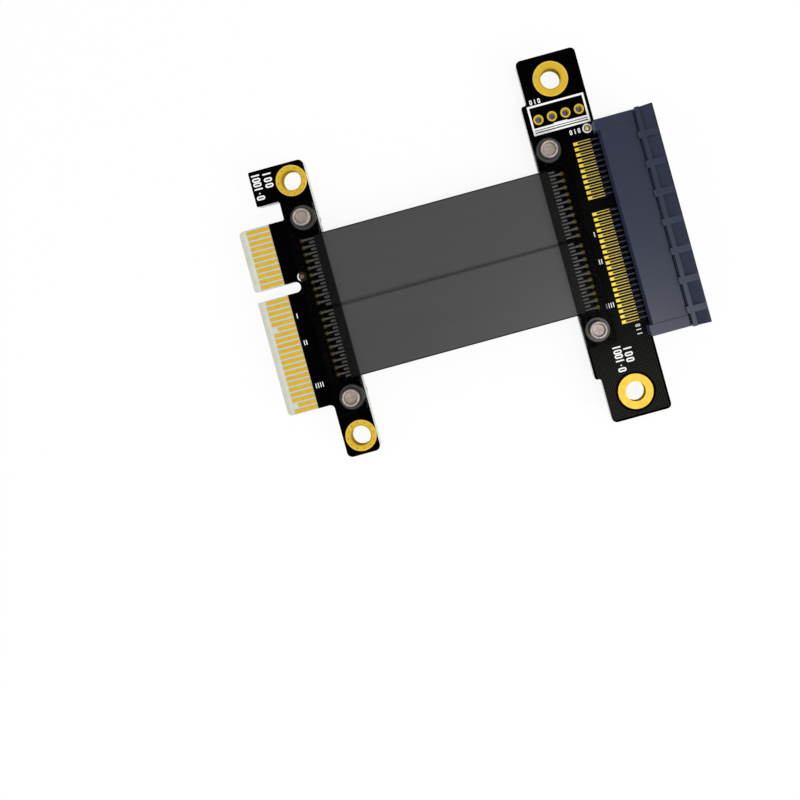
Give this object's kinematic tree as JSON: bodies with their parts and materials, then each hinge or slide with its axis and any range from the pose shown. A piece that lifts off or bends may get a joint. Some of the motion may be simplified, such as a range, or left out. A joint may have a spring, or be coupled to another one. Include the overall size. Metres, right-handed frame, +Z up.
{
  "type": "flat cable riser for a card slot",
  "caption": "Short flat-cable riser: a card-edge plug board, flat ribbons on both faces and an edge-mounted slot connector board.",
  "frame": {"origin": "centre of the footprint, on the plane that the connector's flange and the rivet heads rest on", "axes": "+X from the plug's card edge to the slot's mouth, +Y along the contact rows towards contact 1, +Z up, out of the face that carries the white marks"},
  "size_m": [0.0766, 0.067, 0.0088],
  "materials": {
    "laminate": "satin bare glass-epoxy, pale grey green",
    "solder_mask": "black solder mask, satin",
    "gold": "gold plated copper, semi-bright",
    "silkscreen": "matte white ink",
    "solder": "bright solder",
    "ribbon_jacket": "smooth grey vinyl",
    "tinned_wire": "tinned copper",
    "smoked_cover": "smoked clear plastic, satin",
    "washer": "grey nylon",
    "rivet": "nickel plated",
    "housing": "moulded thermoplastic, dark blue grey",
    "spring_contact": "tin plated bronze"
  },
  "bodies": {
    "root": {"plug_board": "laminate", "socket_board": "laminate", "plug_mask_top": "solder_mask", "plug_mask_bottom": "solder_mask", "socket_mask_top": "solder_mask", "socket_mask_bottom": "solder_mask", "plug_fingers_top": "gold", "plug_fingers_bottom": "gold", "plug_hole_platings": "gold", "socket_hole_platings": "gold", "header_hole_platings": "gold", "plug_test_pad": "gold", "socket_test_pad": "gold", "plug_wire_pads_top": "gold", "plug_wire_pads_bottom": "gold", "socket_wire_pads_top": "gold", "socket_wire_pads_bottom": "gold", "socket_contact_pads_top": "gold", "socket_contact_pads_bottom": "gold", "plug_silkscreen": "silkscreen", "socket_silkscreen": "silkscreen", "plug_solder_top": "solder", "plug_solder_bottom": "solder", "socket_solder_top": "solder", "socket_solder_bottom": "solder", "ribbon_jacket_top_a": "ribbon_jacket", "ribbon_jacket_top_b": "ribbon_jacket", "ribbon_jacket_bottom_a": "ribbon_jacket", "ribbon_jacket_bottom_b": "ribbon_jacket", "ribbon_wires_top_a": "tinned_wire", "ribbon_wires_top_b": "tinned_wire", "ribbon_wires_bottom_a": "tinned_wire", "ribbon_wires_bottom_b": "tinned_wire", "plug_cover_top": "smoked_cover", "plug_cover_bottom": "smoked_cover", "socket_cover_top": "smoked_cover", "socket_cover_bottom": "smoked_cover", "plug_washers": "washer", "socket_washers": "washer", "plug_rivets": "rivet", "socket_rivets": "rivet", "connector_housing": "housing", "connector_contacts_top": "spring_contact", "connector_contacts_bottom": "spring_contact"}
  },
  "joints": []
}
